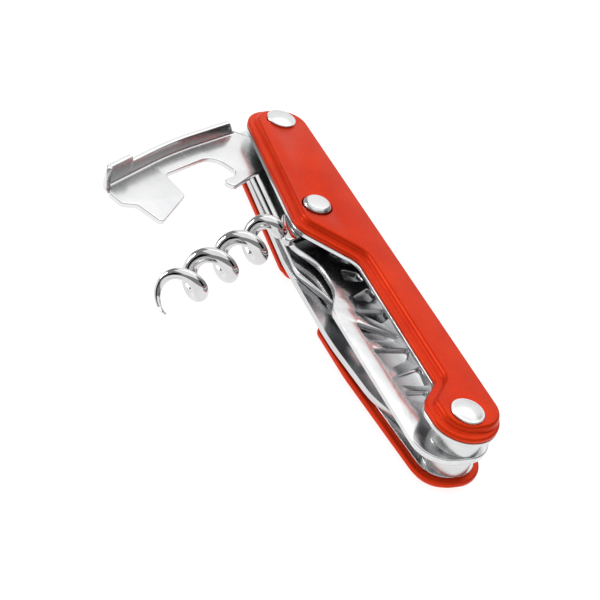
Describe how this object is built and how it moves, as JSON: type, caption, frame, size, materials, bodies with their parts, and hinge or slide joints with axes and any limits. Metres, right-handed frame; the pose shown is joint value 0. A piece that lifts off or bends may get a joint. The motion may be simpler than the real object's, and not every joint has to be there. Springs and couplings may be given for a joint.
{
  "type": "waiters corkscrew",
  "caption": "Folding waiter's corkscrew with red aluminium scales, a steel wire worm, a hooked bottle lever and a folded knife blade.",
  "frame": {"origin": "middle of the body between the two end pivots, on the flat back face of the back scale", "axes": "+X along the body from the plain end to the lever's pivot, +Y to the open side where the tools swing out, +Z through the stack from the back scale to the front scale"},
  "size_m": [0.0965, 0.0499, 0.0164],
  "materials": {
    "front_scale": "bead-blasted aluminium, anodised red",
    "back_scale": "bead-blasted aluminium, anodised red",
    "front_liner": "polished stainless sheet",
    "back_liner": "polished stainless sheet",
    "middle_plate": "tumbled and polished stainless sheet",
    "lock_plate": "polished stainless sheet",
    "lever": "satin polished stainless sheet",
    "worm": "polished steel wire",
    "worm_hub": "polished steel",
    "knife_blade": "ground and polished blade steel",
    "end_barrels": "turned and polished stainless",
    "end_screws": "turned stainless",
    "worm_pivot_pin": "turned and polished stainless",
    "front_spacer": "turned stainless",
    "rear_spacer": "turned stainless",
    "lever_washer": "stamped stainless",
    "knife_washer": "stamped stainless",
    "hub_washer": "stamped stainless",
    "pivot_spacer": "turned stainless",
    "lever_spring": "tempered spring steel",
    "blade_stop": "turned stainless"
  },
  "bodies": {
    "frame": {"front_scale": "front_scale", "back_scale": "back_scale", "front_liner": "front_liner", "back_liner": "back_liner", "middle_plate": "middle_plate", "lock_plate": "lock_plate", "end_barrels": "end_barrels", "end_screws": "end_screws", "worm_pivot_pin": "worm_pivot_pin", "front_spacer": "front_spacer", "rear_spacer": "rear_spacer", "lever_washer": "lever_washer", "knife_washer": "knife_washer", "hub_washer": "hub_washer", "pivot_spacer": "pivot_spacer", "lever_spring": "lever_spring", "blade_stop": "blade_stop"},
    "lever": {"lever": "lever"},
    "worm": {"worm": "worm", "worm_hub": "worm_hub"},
    "knife": {"knife_blade": "knife_blade"}
  },
  "joints": [
    {"name": "lever_hinge", "type": "hinge", "parent": "frame", "child": "lever", "pos_m": [0.0425, 0, 0.0085], "axis": [0, 0, 1], "range_deg": [-60, 12]},
    {"name": "worm_hinge", "type": "hinge", "parent": "frame", "child": "worm", "pos_m": [0.01402, 0.004, 0.0102], "axis": [0, 0, 1], "range_deg": [-8, 46]},
    {"name": "knife_hinge", "type": "hinge", "parent": "frame", "child": "knife", "pos_m": [0.0425, 0, 0.0036], "axis": [0, 0, -1], "range_deg": [0, 180]}
  ]
}
